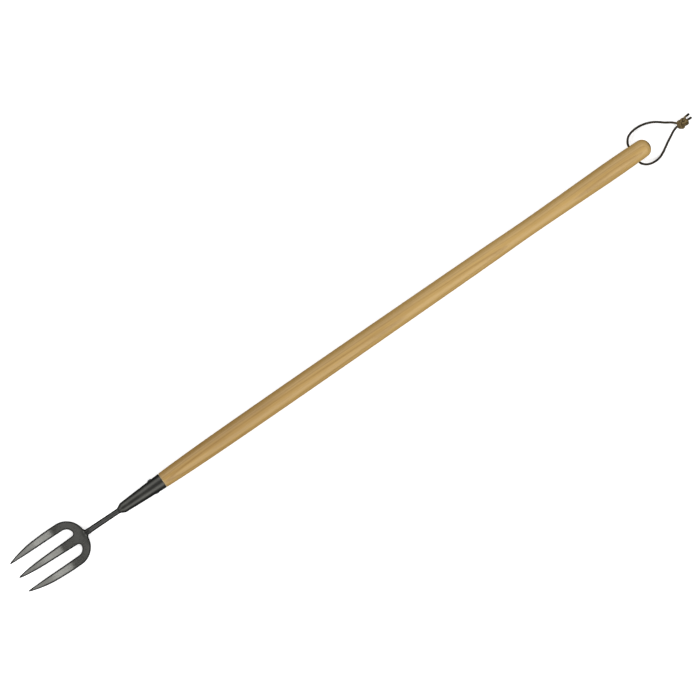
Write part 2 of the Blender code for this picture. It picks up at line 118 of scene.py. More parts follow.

# Neck: a round rod from the socket down to the heel
NECK_RADIUS = 0.0047
NECK_BEND_RADIUS = 0.040
HEEL_ANGLE = math.radians(12)
TANG_DEPTH = 0.020
NECK_SIDES = 48
NECK_STEP = 0.0015
NECK_BEND_STEPS = 12
NECK_SHADE_WIDTH = (0.34, 0.62)  # painted shade: the rod's flanks go dark between these shares of its radius
NECK_LEAN = math.radians(-0.64)  # the head and neck sit a little out of line with the handle

# Welds
HEAD_WELD_GAP = 0.00002  # between the weld's inside and the rod
SOCKET_WELD_GAP = 0.00003
WELD_SIDES = 72
RIPPLE_PITCH = 0.0011
RIPPLE_SHARE = 0.25  # of how proud the weld stands
HEAD_WELD_HALF_LENGTH = 0.0042
HEAD_WELD_ROUND = 0.0043  # half length of the oval that its swelling follows
HEAD_WELD_SWELL = 0.00035
HEAD_WELD_EDGE = 0.00004
SOCKET_WELD_LENGTH = 0.0030
SOCKET_WELD_EDGE = 0.00007
SOCKET_WELD_CURVE = 1.6  # the power that makes the fillet hollow

# Socket and rivet
SOCKET_SHOULDER_LENGTH = 0.0062
SOCKET_SHOULDER_SOFTNESS = 0.0004
SOCKET_NOSE_RADIUS = 0.0058
SOCKET_SHOULDER_RADIUS = 0.0091
SOCKET_MOUTH_RADIUS = 0.0134
SOCKET_WALL = 0.0016
SOCKET_SIDES = 96
SOCKET_FINE_LENGTH = 0.014  # the nose and shoulder, which take closer rings
SOCKET_TAPER_START = 0.018
RIM_ROUNDING = 0.0004
RIM_STEPS = 4
RIM_BEVEL = 0.0002  # inside the mouth
RIVET_X = MOUTH_X - 0.0176
RIVET_SHANK_RADIUS = 0.0025
RIVET_HEAD = (0.0040, 0.0016)  # radius, height
RIVET_TAIL = (0.0034, 0.0008)
RIVET_SHARES = (0.15, 0.35, 0.55, 0.72, 0.85, 0.94, 0.99, 1.0)  # rings, as shares of its radius
RIVET_RIM = 0.15  # height of its rim, as a share of its height
RIVET_LIFT = 0.00003  # between a rivet head and the socket
RIVET_SIDES = 40
CUT_REACH = 0.02  # half the length of a cutter across the handle
GAP = 0.0003

# Handle: (distance from the socket's mouth, radius), up to where the domed butt starts
HANDLE_PROFILE = (
    (0.043, 0.0145), (0.109, 0.0155), (0.200, 0.0159), (0.305, 0.0160), (0.468, 0.01555),
    (0.632, 0.0149), (0.722, 0.0140), (0.795, 0.0146), (0.861, 0.0155), (0.902, 0.0158),
    (0.943, 0.0153), (0.9535, 0.0150),
)  # fmt: skip
HANDLE_START_RADIUS = 0.0132
MOUTH_CHAMFER = 0.0012
SPIGOT_LENGTH = 0.062
SPIGOT_CHAMFER = 0.002
HANDLE_SIDES = 96
HANDLE_STEP = 0.006
HANDLE_FINE_STEP = 0.0012  # over the last stretch, up to the dome
HANDLE_FINE_GAP = 0.001  # the fine stretch starts at least this far after the coarse one
DOME_STEPS = 14
HANDLE_SHARP_ANGLE = 30.0
HOLE_RADIUS = 0.0028
HOLE_FLARE = 0.0022
FLARE_STEPS = 8
FLARE_REACH = 0.003  # how far the cutter goes past the handle's side
HANDLE_RADIUS_AT_HOLE = 0.0154
GROWTH_RING = 0.0026
BUTT_SHADE = (0.0045, 0.0004)  # distances from the butt between which painted shade turns the wood dark

# Lace: each leg's middle line, from the middle of the hole out to where the knot's strands begin
LACE_RADIUS = 0.0019
LACE_SIDES = 18
LACE_STEP = 0.0006
LACE_CURVE_STEPS = 6
KNOT_TONE_FROM = (0.676, 0.683)  # x between which the leather turns browner, at the knot's near side
KNOT_TONE_TO = (0.697, 0.702)  # and plain again, at its far side
LEFT_LEG = (
    (HOLE_X, 0.0002, AXIS_Z), (HOLE_X, 0.0075, AXIS_Z), (HOLE_X, 0.0145, AXIS_Z),
    (0.5951, 0.0190, 0.0158), (0.5977, 0.0237, 0.0145), (0.6021, 0.0284, 0.0112),
    (0.6080, 0.0313, 0.0072), (0.6161, 0.0330, 0.0042), (0.6243, 0.0332, 0.0025),
    (0.6325, 0.0322, 0.0021), (0.6418, 0.0296, 0.0021), (0.6512, 0.0252, 0.0021),
    (0.6594, 0.0196, 0.0021),
)  # fmt: skip
RIGHT_LEG = (
    (HOLE_X, -0.0002, AXIS_Z), (HOLE_X, -0.0075, AXIS_Z), (HOLE_X, -0.0145, AXIS_Z),
    (0.5955, -0.0184, 0.0157), (0.5984, -0.0222, 0.0142), (0.6026, -0.0255, 0.0110),
    (0.6080, -0.0278, 0.0070), (0.6138, -0.0289, 0.0042), (0.6208, -0.0290, 0.0025),
    (0.6278, -0.0278, 0.0021), (0.6360, -0.0242, 0.0021), (0.6442, -0.0194, 0.0021),
    (0.6524, -0.0144, 0.0021), (0.6594, -0.0108, 0.0021),
)  # fmt: skip
LEFT_TAIL_END = (0.7057, 0.0034, 0.0021)
RIGHT_TAIL_END = (0.7060, -0.0036, 0.0021)

# Knot: an overhand knot in both strands, drawn tight from a loose one
KNOT_CENTRE = (0.6890, -0.0030, 0.0050)
KNOT_LOOSE_SIZE = 0.0058
KNOT_TURN = math.radians(90)  # about the line of the pull
KNOT_STRAND_LENGTH = 0.118
KNOT_POINTS = 120
KNOT_ROUNDS = 900
KNOT_LID = (0.030, 0.0098)  # how high a strand's middle line may be, while loose and when tight
KNOT_DRAWN_BY = 0.35  # share of the rounds in which the ends go to their places
KNOT_TIGHTENED = (0.15, 0.6)  # share of the rounds before the tightening, and that it takes
KNOT_SMOOTHING = 0.2
KNOT_PAIR_GAP = 1.15  # from the knot's line to each strand at the start, in lace radii
KNOT_SELF_GAP = 2.4  # points nearer than this along one strand aren't pushed apart, in lace radii
LENGTH_PASSES = 10
PUSH_PASSES = 3
KNOT_NUDGE = (0.0003, 0.0030, 0.0)  # a last shift of the tight knot, its legs left in place
KNOT_NUDGE_POINTS = (3, 24)  # the points of a strand between which the shift sets in
TAIL_PULL = (0.0090, 0.0, 0.0040)  # how far past its end a tail is drawn before it is cut off
TAIL_START_X = 0.6985  # where a strand has left the knot, and its drawn tail is cut off
TAIL_HUMP = 0.0006  # how far a new tail's middle stands above a straight line
EASED_REACH = 0.010  # how far either side of the knot's start a lace is relaxed
EASED_ROUNDS = 60
EASED_LEG = (0.4, 1.0)  # shares of that reach between which the relaxing fades out, at the knot
EASED_END = (0.3, 0.8)  # and at the lace's end
EASED_SHARE = 0.5

# Camera: straight down from far away
CAMERA_LENS = 500.0
CAMERA_SENSOR = 36.0
CAMERA_VIEW = 1.1436  # width of ground in view, at the height of the handle's axis
CAMERA_CENTRE = (0.0308, 0.0010)
CAMERA_TURN = math.radians(-34.66)

# Floor
FLOOR_HALF_SIZE = 40.0
FLOOR_GAP = 0.0003  # below the object, which keeps the two surfaces apart


# Lines and meshes


def smooth_line(points, steps):
    """Points on a smooth curve through the given ones, steps - 1 new ones in each interval."""
    known = [Vector(point) for point in points]
    known = [2 * known[0] - known[1], *known, 2 * known[-1] - known[-2]]
    line = []
    for i in range(1, len(known) - 2):
        before, start, end, after = known[i - 1 : i + 3]
        for step in range(steps):
            t = step / steps
            twice = 2 * start + (end - before) * t
            twice += (2 * before - 5 * start + 4 * end - after) * t**2
            twice += (3 * start - before - 3 * end + after) * t**3
            line.append(0.5 * twice)
    return [*line, known[-2]]


def spaced(points, step):
    """The line through the given points as an array of points about one step apart."""
    line = np.array([tuple(point) for point in points])
    runs = np.linalg.norm(np.diff(line, axis=0), axis=1)
    along = np.concatenate([[0.0], np.cumsum(runs)])
    wanted = np.linspace(0.0, along[-1], int(round(along[-1] / step)) + 1)
    return np.stack([np.interp(wanted, along, column) for column in line.T], axis=1)


def smoothstep(value, start, end):
    share = np.clip((value - start) / (end - start), 0.0, 1.0)
    return share * share * (3 - 2 * share)


def round_angles(sides):
    return np.linspace(0.0, 2 * math.pi, sides, endpoint=False)


def mesh_from(name, verts, faces, sharp_angle=40.0):
    mesh = bpy.data.meshes.new(name)
    mesh.from_pydata([tuple(vert) for vert in verts], [], faces)
    body = bmesh.new()
    body.from_mesh(mesh)
    bmesh.ops.recalc_face_normals(body, faces=body.faces)
    body.to_mesh(mesh)
    body.free()
    mesh.shade_smooth()
    mesh.set_sharp_from_angle(angle=math.radians(sharp_angle))
    return mesh


def ring_faces(first, second, sides):
    """Faces between two rings of points; a ring of one point is a pole."""
    faces = []
    for i in range(sides):
        j = (i + 1) % sides
        if len(first) == 1:
            faces.append((first[0], second[i], second[j]))
        elif len(second) == 1:
            faces.append((first[i], second[0], first[j]))
        else:
            faces.append((first[i], second[i], second[j], first[j]))
    return faces


def rings_mesh(name, rings, sides, closed=False, sharp_angle=40.0):
    """A mesh through rings of points, each an array of `sides` points or of one point."""
    verts = np.concatenate(rings)
    starts = np.cumsum([0] + [len(ring) for ring in rings])
    index = [list(range(a, b)) for a, b in zip(starts, starts[1:])]
    faces = []
    for first, second in zip(index, index[1:]):
        faces += ring_faces(first, second, sides)
    if closed:
        faces += ring_faces(index[-1], index[0], sides)
    return mesh_from(name, verts, faces, sharp_angle)


def turned_rings(profile, sides):
    """Rings about the handle's axis from (x, radius) points."""
    angles = round_angles(sides)
    rings = []
    for x, radius in profile:
        if radius < 1e-7:
            rings.append(np.array([[x, 0.0, AXIS_Z]]))
            continue
        ring = np.empty((sides, 3))
        ring[:, 0] = x
        ring[:, 1] = radius * np.cos(angles)
        ring[:, 2] = AXIS_Z + radius * np.sin(angles)
        rings.append(ring)
    return rings


def line_frames(line):
    """At each point of a line, two directions across it that don't twist."""
    tangents = np.gradient(line, axis=0)
    tangents /= np.linalg.norm(tangents, axis=1)[:, None]
    side = np.cross(tangents[0], (0.0, 0.0, 1.0))
    sides, ups = [], []
    for tangent in tangents:
        side = side - tangent * (side @ tangent)
        side /= np.linalg.norm(side)
        sides.append(side)
        ups.append(np.cross(side, tangent))
    return np.array(sides), np.array(ups)


def swept_rings(line, radius, sides):
    """Rings of one radius along a line, ending in one point at each end."""
    across, up = line_frames(line)
    angles = round_angles(sides)
    rings = [line[:1]]
    for place, a, b in zip(line, across, up):
        rings.append(place + np.outer(np.cos(angles), a) * radius + np.outer(np.sin(angles), b) * radius)
    return [*rings, line[-1:]]


def new_object(name, data):
    """A new object in the scene that holds this mesh, lamp or camera."""
    made = bpy.data.objects.new(name, data)
    bpy.context.scene.collection.objects.link(made)
    return made


def add_piece(name, mesh, materials, body, replaced):
    """A finished piece that moves with a body and stands for the CAD nodes it replaces."""
    piece = new_object(name, mesh)
    for finish in materials:
        mesh.materials.append(finish)
    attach(piece, body)
    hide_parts(*replaced)
    return piece


def cut_mesh(mesh, cutters):
    """The mesh with the cutter meshes taken out of it."""
    piece = new_object("uncut", mesh)
    helpers = []
    for cutter in cutters:
        helper = new_object("cutter", cutter)
        helpers.append(helper)
        modifier = piece.modifiers.new("cut", "BOOLEAN")
        modifier.operation = "DIFFERENCE"
        modifier.object = helper
    bpy.context.view_layer.update()
    evaluated = piece.evaluated_get(bpy.context.evaluated_depsgraph_get())
    made = bpy.data.meshes.new_from_object(evaluated)
    for obj in (piece, *helpers):
        bpy.data.objects.remove(obj, do_unlink=True)
    return made


# Material nodes


class Nodes:
    """Short forms for a material's nodes; an input is a number, a colour or another output."""

    def __init__(self, tree):
        self.tree = tree

    def add(self, kind, inputs, output=0, **settings):
        node = self.tree.nodes.new(kind)
        for name, value in settings.items():
            setattr(node, name, value)
        for name, value in inputs.items():
            if isinstance(value, bpy.types.NodeSocket):
                self.tree.links.new(value, node.inputs[name])
            else:
                node.inputs[name].default_value = value
        return node.outputs[output]

    def math(self, operation, first, second=0.0, clamp=False):
        return self.add("ShaderNodeMath", {0: first, 1: second}, operation=operation, use_clamp=clamp)

    def place(self, stretch=(1.0, 1.0, 1.0), shift=(0.0, 0.0, 0.0)):
        """The piece's own coordinates, in metres, times stretch."""
        own = self.add("ShaderNodeTexCoord", {}, output="Object")
        return self.add("ShaderNodeMapping", {"Vector": own, "Scale": stretch, "Location": shift})

    def noise(self, stretch, detail=3.0, roughness=0.55, shift=(0.0, 0.0, 0.0)):
        where = self.place(stretch, shift)
        inputs = {"Vector": where, "Scale": 1.0, "Detail": detail, "Roughness": roughness}
        return self.add("ShaderNodeTexNoise", inputs)

    def ramp(self, value, start, end, low=0.0, high=1.0):
        """value from start..end, turned smoothly to low..high."""
        inputs = {"Value": value, "From Min": start, "From Max": end, "To Min": low, "To Max": high}
        return self.add("ShaderNodeMapRange", inputs, interpolation_type="SMOOTHSTEP")

    def mix(self, share, first, second):
        node = self.tree.nodes.new("ShaderNodeMix")
        node.data_type = "RGBA"
        for socket, value in ((node.inputs[0], share), (node.inputs[6], first), (node.inputs[7], second)):
            if isinstance(value, bpy.types.NodeSocket):
                self.tree.links.new(value, socket)
            elif socket.type == "RGBA":
                socket.default_value = (*value, 1.0)
            else:
                socket.default_value = value
        return node.outputs[2]

    def bump(self, height, distance, strength=1.0, base=None):
        inputs = {"Height": height, "Distance": distance, "Strength": strength}
        if base is not None:
            inputs["Normal"] = base
        return self.add("ShaderNodeBump", inputs)

    def sum(self, first, *weighted):
        """first plus each (weight, value)."""
        total = first
        for weight, value in weighted:
            total = self.math("ADD", total, self.math("MULTIPLY", value, weight))
        return total


def new_material(name):
    made = bpy.data.materials.new(name)
    made.use_nodes = True
    shader = made.node_tree.nodes["Principled BSDF"]
    return made, Nodes(made.node_tree), shader


def feed(nodes, shader, **sockets):
    """Sets or links the shader's sockets, named with _ for a space."""
    for name, value in sockets.items():
        socket = shader.inputs[name.replace("_", " ")]
        if isinstance(value, bpy.types.NodeSocket):
            nodes.tree.links.new(value, socket)
        else:
            socket.default_value = value


# Materials


def steel(name, dark, light, roughness, metallic, brushed):
    """Dark lacquered steel: cloudy tone, fine lengthwise scratches, and painted shade along the edges and
    wherever else the mesh's attribute asks for it.
    """
    made, nodes, shader = new_material(name)
    painted_shade = nodes.add("ShaderNodeAttribute", {}, output="Fac", attribute_name=PAINTED_SHADE_ATTRIBUTE)
    clouds = nodes.noise((55.0, 55.0, 55.0), detail=4.0)
    speckle = nodes.noise((900.0, 900.0, 900.0), detail=2.0, shift=(3.0, 1.0, 2.0))
    scratches = nodes.noise((60.0, 2400.0, 2400.0), detail=3.0, shift=(0.0, 5.0, 0.0))
    tone = nodes.sum(-0.05, (0.60, clouds), (0.25, speckle), (brushed, scratches))
    face = nodes.mix(nodes.ramp(tone, 0.24, 0.66), dark, light)
    feed(
        nodes,
        shader,
        # painted shade: the mesh's attribute mixes this dark colour into the steel
        Base_Color=nodes.mix(painted_shade, face, PAINTED_SHADE_COLOUR),
        Metallic=metallic,
        Roughness=nodes.sum(roughness - 0.12, (0.14, clouds), (0.10, scratches), (0.25, painted_shade)),
        Normal=nodes.bump(
            nodes.sum(0.0, (0.5, speckle), (brushed, scratches), (1.5, clouds)), 0.00009, 0.6
        ),
    )
    return made


def weld_metal():
    made, nodes, shader = new_material("weld_metal")
    clouds = nodes.noise((400.0, 400.0, 400.0), detail=5.0)
    feed(
        nodes,
        shader,
        Base_Color=nodes.mix(nodes.ramp(clouds, 0.35, 0.65), (0.014, 0.014, 0.013), (0.034, 0.034, 0.032)),
        Metallic=0.8,
        Roughness=nodes.ramp(clouds, 0.3, 0.7, 0.38, 0.58),
        Normal=nodes.bump(clouds, 0.0002, 0.7),
    )
    return made


def ash_wood():
    """Straight-grained ash under a thin oil finish, its grain along the handle, with painted light on its
    -Y side and painted shade at the butt.
    """
    made, nodes, shader = new_material("ash_wood")
    axes = nodes.tree.nodes.new("ShaderNodeSeparateXYZ")
    nodes.tree.links.new(nodes.place(), axes.inputs[0])
    x, y, z = axes.outputs
    wander = nodes.noise((1.6, 14.0, 14.0), detail=2.0)
    drift = nodes.noise((0.7, 2.0, 2.0), detail=1.0, shift=(4.0, 0.0, 0.0))
    across = nodes.sum(y, (0.009, wander), (0.030, drift), (0.006, x))
    across = nodes.math("ADD", across, -0.050)
    deep = nodes.sum(z, (0.004, wander), (-0.004, x))
    deep = nodes.math("ADD", deep, 0.055)
    squares = nodes.sum(0.0, (across, across), (deep, deep))
    from_pith = nodes.math("SQRT", squares)
    ring = nodes.math("FRACT", nodes.math("MULTIPLY", from_pith, 1 / GROWTH_RING))
    early = nodes.math("MULTIPLY", nodes.ramp(ring, 0.0, 0.10), nodes.ramp(ring, 0.42, 0.16))
    fibres = nodes.noise((26.0, 1500.0, 1500.0), detail=4.0, roughness=0.6)
    streaks = nodes.noise((5.0, 260.0, 260.0), detail=3.0, shift=(0.0, 7.0, 3.0))
    patches = nodes.noise((7.0, 45.0, 45.0), detail=2.0, shift=(9.0, 0.0, 0.0))
    dashes = nodes.noise((160.0, 5200.0, 5200.0), detail=1.0, shift=(0.0, 0.0, 8.0))
    pores = nodes.math("MULTIPLY", nodes.ramp(dashes, 0.60, 0.70), nodes.sum(0.12, (0.88, early)))
    # painted light: the wood is made lighter on its -Y side, where the key light falls
    side = nodes.ramp(y, 0.002, -0.012)
    towards_butt = nodes.ramp(x, MOUTH_X, 0.30)
    tone = nodes.sum(0.02, (0.26, streaks), (0.22, fibres), (0.22, patches), (-0.12, early))
    tone = nodes.sum(tone, (0.13, side), (0.16, towards_butt))
    body = nodes.mix(nodes.ramp(tone, 0.10, 0.80), (0.243, 0.137, 0.036), (0.476, 0.310, 0.105))
    colour = nodes.mix(nodes.math("MULTIPLY", pores, 0.55), body, (0.16, 0.090, 0.032))
    # painted shade: a dark rim round the edge of the butt
    butt_shade = nodes.ramp(x, BUTT_X - BUTT_SHADE[0], BUTT_X - BUTT_SHADE[1], 0.0, 0.8)
    colour = nodes.mix(butt_shade, colour, (0.10, 0.065, 0.030))
    relief = nodes.sum(0.0, (0.30, fibres), (-0.8, pores), (-0.25, early))
    feed(
        nodes,
        shader,
        Base_Color=colour,
        Roughness=nodes.sum(0.36, (0.16, fibres), (0.12, pores)),
        Specular_IOR_Level=0.42,
        Normal=nodes.bump(relief, 0.00010, 0.7),
    )
    return made


def end_grain():
    """The cut, lighter wood of the chamfer at the socket's mouth."""
    made, nodes, shader = new_material("ash_end_grain")
    speckle = nodes.noise((600.0, 2200.0, 2200.0), detail=3.0)
    feed(
        nodes,
        shader,
        Base_Color=nodes.mix(nodes.ramp(speckle, 0.3, 0.7), (0.38, 0.28, 0.14), (0.54, 0.42, 0.24)),
        Roughness=0.6,
        Normal=nodes.bump(speckle, 0.00012, 0.6),
    )
    return made


def lace_leather():
    """Dark waxed leather thong, browner at the knot, with creases across it and a fine grain."""
    made, nodes, shader = new_material("lace_leather")
    axes = nodes.tree.nodes.new("ShaderNodeSeparateXYZ")
    nodes.tree.links.new(nodes.place(), axes.inputs[0])
    grain = nodes.noise((2600.0, 2600.0, 2600.0), detail=4.0)
    patches = nodes.noise((260.0, 260.0, 260.0), detail=3.0, shift=(2.0, 0.0, 0.0))
    x = axes.outputs[0]
    at_knot = nodes.math("MULTIPLY", nodes.ramp(x, *KNOT_TONE_FROM), nodes.ramp(x, *reversed(KNOT_TONE_TO)))
    plain = nodes.mix(nodes.ramp(patches, 0.35, 0.70), (0.008, 0.006, 0.003), (0.030, 0.021, 0.010))
    # lighter, browner leather at the knot
    knot_tone = nodes.mix(nodes.ramp(patches, 0.30, 0.65), (0.034, 0.023, 0.009), (0.165, 0.115, 0.046))
    feed(
        nodes,
        shader,
        Base_Color=nodes.mix(at_knot, plain, knot_tone),
        Roughness=nodes.ramp(grain, 0.3, 0.7, 0.55, 0.75),
        Specular_IOR_Level=0.22,
        Normal=nodes.bump(nodes.sum(0.0, (1.0, grain), (1.4, patches)), 0.00010, 0.7),
    )
    return made


# Fork head


def head_slope(from_tip):
    stations = [station for station, _ in HEAD_SLOPE]
    return np.radians(np.interp(from_tip, stations, [slope for _, slope in HEAD_SLOPE]))


def head_height(from_tip):
    """Height of the plate's middle surface, summed from its slope on both sides of its level point."""
    stations = np.linspace(0.0, HEAD_LENGTH, 600)
    fall = np.tan(head_slope(stations))
    steps = (fall[1:] + fall[:-1]) / 2 * np.diff(stations)
    heights = np.concatenate([[0.0], -np.cumsum(steps)])
    heights -= np.interp(LEVEL_POINT, stations, heights)
    return PLATE_THICKNESS / 2 + np.interp(from_tip, stations, heights)


def quarter(centre, along, across, steps):
    """Points of a quarter ellipse, from its end across the centre line to its end along it."""
    points = []
    for step in range(steps + 1):
        angle = math.pi / 2 * step / steps
        points.append(centre + Vector((along * math.sin(angle), across * math.cos(angle))))
    return points


def head_outline():
    """The whole outline as an array of (from tip, from centre), evenly spaced."""
    inner_corner = quarter(
        Vector((SLOT_INNER_START, SLOT_TOP.y)),
        SLOT_TOP.x - SLOT_INNER_START,
        MIDDLE_TINE_EDGE[-1][1] - SLOT_TOP.y,
        16,
    )
    outer_corner = quarter(
        Vector((SLOT_OUTER_START, SLOT_TOP.y)),
        SLOT_TOP.x - SLOT_OUTER_START,
        OUTER_TINE_INSIDE[-1][1] - SLOT_TOP.y,
        32,
    )
    shoulder = quarter(
        Vector((SHOULDER_START, SHOULDER_CENTRE_WIDTH)), SHOULDER_RADIUS, SHOULDER_RADIUS, 60
    )
    shoulder = [point for point in shoulder if point.y > ROOT_FILLET_START]
    rise = ROOT_FILLET_START - SHOULDER_CENTRE_WIDTH
    fillet_start = SHOULDER_START + math.sqrt(SHOULDER_RADIUS**2 - rise**2)
    root_fillet = quarter(
        Vector((HEAD_LENGTH, ROOT_FILLET_START)),
        fillet_start - HEAD_LENGTH,
        ROOT_HALF_WIDTH - ROOT_FILLET_START,
        20,
    )
    middle_to_outer_tip = [
        *smooth_line(MIDDLE_TINE_EDGE, CURVE_STEPS),
        *inner_corner[1:],
        *outer_corner[-2::-1],
        *smooth_line(OUTER_TINE_INSIDE, CURVE_STEPS)[-2::-1],
    ]
    outer_tip_to_heel = [
        *smooth_line(OUTER_TINE_OUTSIDE, CURVE_STEPS),
        *shoulder[1:],
        *reversed(root_fillet),
    ]
    first = spaced(middle_to_outer_tip, OUTLINE_STEP)
    second = spaced(outer_tip_to_heel, OUTLINE_STEP)
    line = np.concatenate([first, second[1:]])
    mirrored = line[:0:-1] * (1.0, -1.0)
    return np.concatenate([line, mirrored])


def distance_to(outline, points):
    """Each point's distance to the closed outline."""
    start = outline
    run = np.roll(outline, -1, axis=0) - start
    length = (run * run).sum(1)
    found = np.empty(len(points))
    for i in range(0, len(points), 2000):
        gap = points[i : i + 2000, None, :] - start
        share = np.clip((gap * run).sum(2) / length, 0.0, 1.0)
        found[i : i + 2000] = np.sqrt(((gap - share[..., None] * run) ** 2).sum(2).min(1))
    return found


def inside_of(outline, points):
    """True for each point inside the closed outline."""
    crossings = np.zeros(len(points), int)
    for a, b in zip(outline, np.roll(outline, -1, axis=0)):
        straddles = (a[1] > points[:, 1]) != (b[1] > points[:, 1])
        if straddles.any():
            meets = a[0] + (points[:, 1] - a[1]) * (b[0] - a[0]) / (b[1] - a[1] + 1e-15)
            crossings += straddles & (points[:, 0] < meets)
    return crossings % 2 == 1


def head_points(outline):
    """Points inside the outline: rings that follow its edge, then a plain grid."""
    run = np.roll(outline, -1, axis=0) - np.roll(outline, 1, axis=0)
    normal = np.stack([run[:, 1], -run[:, 0]], axis=1)
    normal /= np.linalg.norm(normal, axis=1)[:, None]
    found = []
    for depth in EDGE_RINGS:
        for side in (1, -1):
            ring = outline + side * normal * depth
            ring = ring[inside_of(outline, ring)]
            found.append(ring[distance_to(outline, ring) > 0.97 * depth])
    u, v = np.meshgrid(
        np.arange(0.0, HEAD_LENGTH, INNER_GRID), np.arange(-0.04, 0.04 + INNER_GRID, INNER_GRID)
    )
    grid = np.stack([u.ravel(), v.ravel()], axis=1)
    grid = grid[inside_of(outline, grid)]
    found.append(grid[distance_to(outline, grid) > EDGE_RINGS[-1] + INNER_GRID / 3])
    return np.concatenate(found)


def half_thickness(points, distance):
    """The plate's half thickness: thinner to the tips, rounded at the edge, swelling into the neck."""
    from_tip, across = points[:, 0], points[:, 1]
    share = np.clip(from_tip / TAPER_END, 0.0, 1.0)
    full = (TIP_THICKNESS + (PLATE_THICKNESS - TIP_THICKNESS) * share) / 2
    depth = np.clip(distance / EDGE_ROUNDING, 0.0, 1.0)
    plate = full * (EDGE_SHARE + (1 - EDGE_SHARE) * np.sqrt(1 - (1 - depth) ** 2))
    rise = smoothstep(from_tip, HUMP_START, HEAD_LENGTH + 0.001)
    width = NECK_RADIUS * (1 + HUMP_SPREAD * (1 - rise))
    hump = NECK_RADIUS * rise * (1 - np.minimum((across / width) ** 2, 1.0))
    return (plate + hump + np.sqrt((plate - hump) ** 2 + HUMP_SOFTNESS**2)) / 2


def head_painted_shade(flat, distance):
    """How much painted shade darkens each point: most along the edges, then at the heel and the tips."""
    from_tip, across = flat[:, 0], np.abs(flat[:, 1])
    narrowing = TIP_SHADE_SHARE + (1 - TIP_SHADE_SHARE) * smoothstep(from_tip, *TIP_SHADE_RUN)
    edge = smoothstep(distance / narrowing, *reversed(EDGE_SHADE_WIDTH))
    heel = smoothstep(from_tip, HEEL_SHADE_START, HEEL_SHADE_END)
    heel = heel * smoothstep(across, *HEEL_SHADE_HALF_WIDTH)
    shaded_tip = smoothstep(from_tip, *DARK_TIP_SHADE)
    return np.maximum(edge, FACE_SHADE_STRENGTH * np.maximum(heel, shaded_tip))


def set_painted_shade(mesh, painted_shade):
    """Stores how much painted shade darkens each point of a mesh, for the steel's material."""
    attribute = mesh.attributes.new(PAINTED_SHADE_ATTRIBUTE, "FLOAT", "POINT")
    attribute.data.foreach_set("value", np.array(painted_shade, np.float32))


def fork_head(finish):
    """The forged plate: its outline filled with points, given its height and its thickness."""
    outline = head_outline()
    count = len(outline)
    points = np.concatenate([outline, head_points(outline)])
    edges = [(i, (i + 1) % count) for i in range(count)]
    verts, _, faces, origin, _, _ = delaunay_2d_cdt(
        [Vector(point) for point in points], edges, [], 1, 1e-7
    )
    flat = np.array([tuple(vert) for vert in verts])
    of_outline = {source: i for i, sources in enumerate(origin) for source in sources if source < count}
    rim = [of_outline[i] for i in range(count)]
    distance = distance_to(outline, flat)
    half = half_thickness(flat, distance)
    middle = head_height(flat[:, 0])
    lean = np.sin(head_slope(flat[:, 0]))
    top = np.stack([TIP_X + flat[:, 0] + lean * half, flat[:, 1], middle + half], axis=1)
    bottom = np.stack([TIP_X + flat[:, 0] - lean * half, flat[:, 1], middle - half], axis=1)
    shift = len(flat)
    all_faces = [tuple(face) for face in faces]
    all_faces += [tuple(shift + i for i in reversed(face)) for face in faces]
    for i in range(count):
        a, b = rim[i], rim[(i + 1) % count]
        all_faces.append((a, b, shift + b, shift + a))
    mesh = mesh_from("fork_head_forged", np.concatenate([top, bottom]), all_faces, 50.0)
    # painted shade on the plate's edges, its heel and its tips
    set_painted_shade(mesh, np.tile(head_painted_shade(flat, distance), 2))
    lean_neck(mesh)
    return add_piece("fork_head_forged", mesh, [finish], TOOL, ["fork_head"])


# Neck and welds


def lean_neck(mesh):
    """Turns a mesh of the neck or the head sideways about the socket's nose."""
    nose = Matrix.Translation((SOCKET_END_X, 0.0, 0.0))
    mesh.transform(nose @ Matrix.Rotation(NECK_LEAN, 4, "Z") @ nose.inverted())


def neck_line():
    """The rod's middle line, from inside the socket down to the heel."""
    heel_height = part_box("neck_rod")[0].z + NECK_RADIUS * math.cos(HEEL_ANGLE)
    bend_drop = NECK_BEND_RADIUS * (1 - math.cos(HEEL_ANGLE))
    slope_run = (AXIS_Z - heel_height - bend_drop) / math.tan(HEEL_ANGLE)
    bend_x = HEEL_X + slope_run + NECK_BEND_RADIUS * math.sin(HEEL_ANGLE)
    points = [Vector((SOCKET_END_X + TANG_DEPTH, 0.0, AXIS_Z))]
    for step in range(NECK_BEND_STEPS + 1):
        angle = HEEL_ANGLE * step / NECK_BEND_STEPS
        points.append(
            Vector((bend_x - NECK_BEND_RADIUS * math.sin(angle), 0.0,
                    AXIS_Z - NECK_BEND_RADIUS * (1 - math.cos(angle))))
        )  # fmt: skip
    points.append(Vector((HEEL_X + GAP, 0.0, heel_height + GAP * math.tan(HEEL_ANGLE))))
    return points


def neck_rod(finish):
    line = spaced(neck_line(), NECK_STEP)
    rings = swept_rings(line, NECK_RADIUS, NECK_SIDES)
    mesh = rings_mesh("neck_rod_drawn", rings, NECK_SIDES)
    # painted shade: the rod darkens towards its flanks, as a lit round rod looks from above
    set_painted_shade(mesh, [smoothstep(abs(vert.co.y) / NECK_RADIUS, *NECK_SHADE_WIDTH) for vert in mesh.vertices])
    lean_neck(mesh)
    return add_piece("neck_rod_drawn", mesh, [finish], TOOL, ["neck_rod"])


def rippled(angle, along, height):
    """Small regular waves of a weld run, slightly uneven round it."""
    phase = 2 * math.pi * along / RIPPLE_PITCH
    phase += 0.7 * np.sin(2 * angle + 0.4) + 0.4 * np.sin(5 * angle)
    return height * (0.5 + 0.5 * np.cos(phase))


